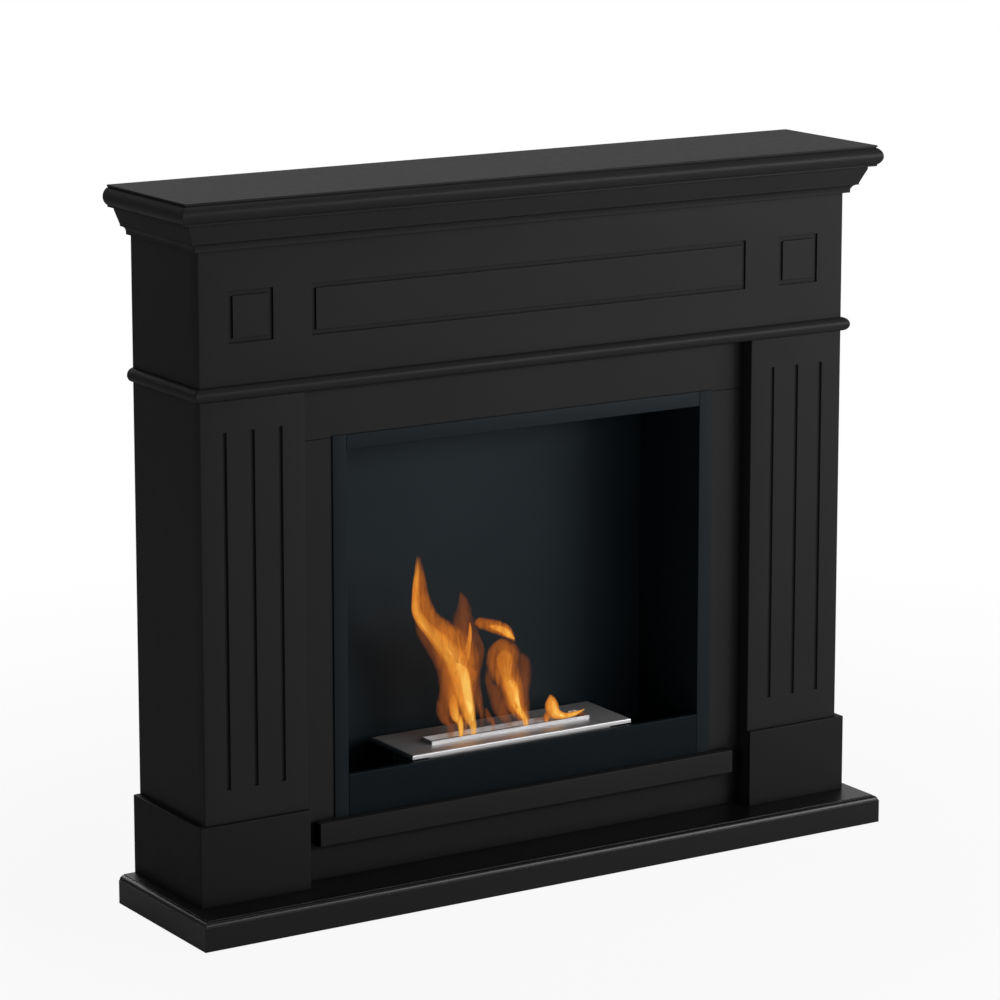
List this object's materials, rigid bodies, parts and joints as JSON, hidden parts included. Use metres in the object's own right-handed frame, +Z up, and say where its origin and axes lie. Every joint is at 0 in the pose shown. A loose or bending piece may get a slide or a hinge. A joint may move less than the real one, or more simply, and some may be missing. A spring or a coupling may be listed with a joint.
{
  "type": "bioethanol fireplace",
  "caption": "Free-standing bioethanol fireplace: black moulded portal with fluted pilasters, steel firebox and a slotted stainless burner with a sliding shutter.",
  "frame": {"origin": "on the floor, in the middle of the overall width and depth", "axes": "+X to the right along the front, +Y towards the wall, +Z up"},
  "size_m": [1.134, 0.252, 1],
  "materials": {
    "lacquer": "satin black lacquer on fibreboard",
    "raw_board": "bare fibreboard",
    "coated_steel": "fine matt blue-black powder coat",
    "stainless": "brushed stainless steel",
    "zinc_steel": "bright zinc plate",
    "ceramic": "matt ceramic wool",
    "flame": "translucent glowing flame"
  },
  "bodies": {
    "portal": {"base_slab": "lacquer", "mantel_shelf": "lacquer", "cornice_front": "lacquer", "cornice_left": "lacquer", "cornice_right": "lacquer", "bead_front": "lacquer", "bead_left": "lacquer", "bead_right": "lacquer", "frieze_board": "lacquer", "pilaster_left": "lacquer", "pilaster_right": "lacquer", "plinth_front_left": "lacquer", "plinth_front_right": "lacquer", "plinth_side_left": "lacquer", "plinth_side_right": "lacquer", "side_panel_left": "lacquer", "side_panel_right": "lacquer", "surround_top_rail": "lacquer", "surround_bottom_rail": "lacquer", "surround_stile_left": "lacquer", "surround_stile_right": "lacquer", "sill_batten": "lacquer", "rear_rail_top": "raw_board", "rear_rail_bottom": "raw_board", "shelf_cleat": "raw_board", "side_cleat_top_left": "raw_board", "side_cleat_top_right": "raw_board", "side_cleat_bottom_left": "raw_board", "side_cleat_bottom_right": "raw_board", "firebox_floor": "coated_steel", "firebox_ceiling": "coated_steel", "firebox_back": "coated_steel", "firebox_wall_left": "coated_steel", "firebox_wall_right": "coated_steel", "frame_strip_left": "coated_steel", "frame_strip_right": "coated_steel", "frame_strip_top": "coated_steel", "frame_fascia": "coated_steel", "firebox_bracket_left_lower": "zinc_steel", "firebox_bracket_left_upper": "zinc_steel", "firebox_bracket_right_lower": "zinc_steel", "firebox_bracket_right_upper": "zinc_steel", "bracket_screw_left_lower": "zinc_steel", "bracket_screw_left_upper": "zinc_steel", "bracket_screw_right_lower": "zinc_steel", "bracket_screw_right_upper": "zinc_steel", "burner_tank": "stainless", "burner_plate": "stainless", "shutter_guide_left": "stainless", "shutter_guide_right": "stainless", "ceramic_wool": "ceramic"},
    "shutter": {"burner_shutter": "stainless"}
  },
  "joints": [
    {"name": "shutter_slide", "type": "slide", "parent": "portal", "child": "shutter", "axis": [0, -1, 0], "range_m": [0, 0.0215]}
  ]
}
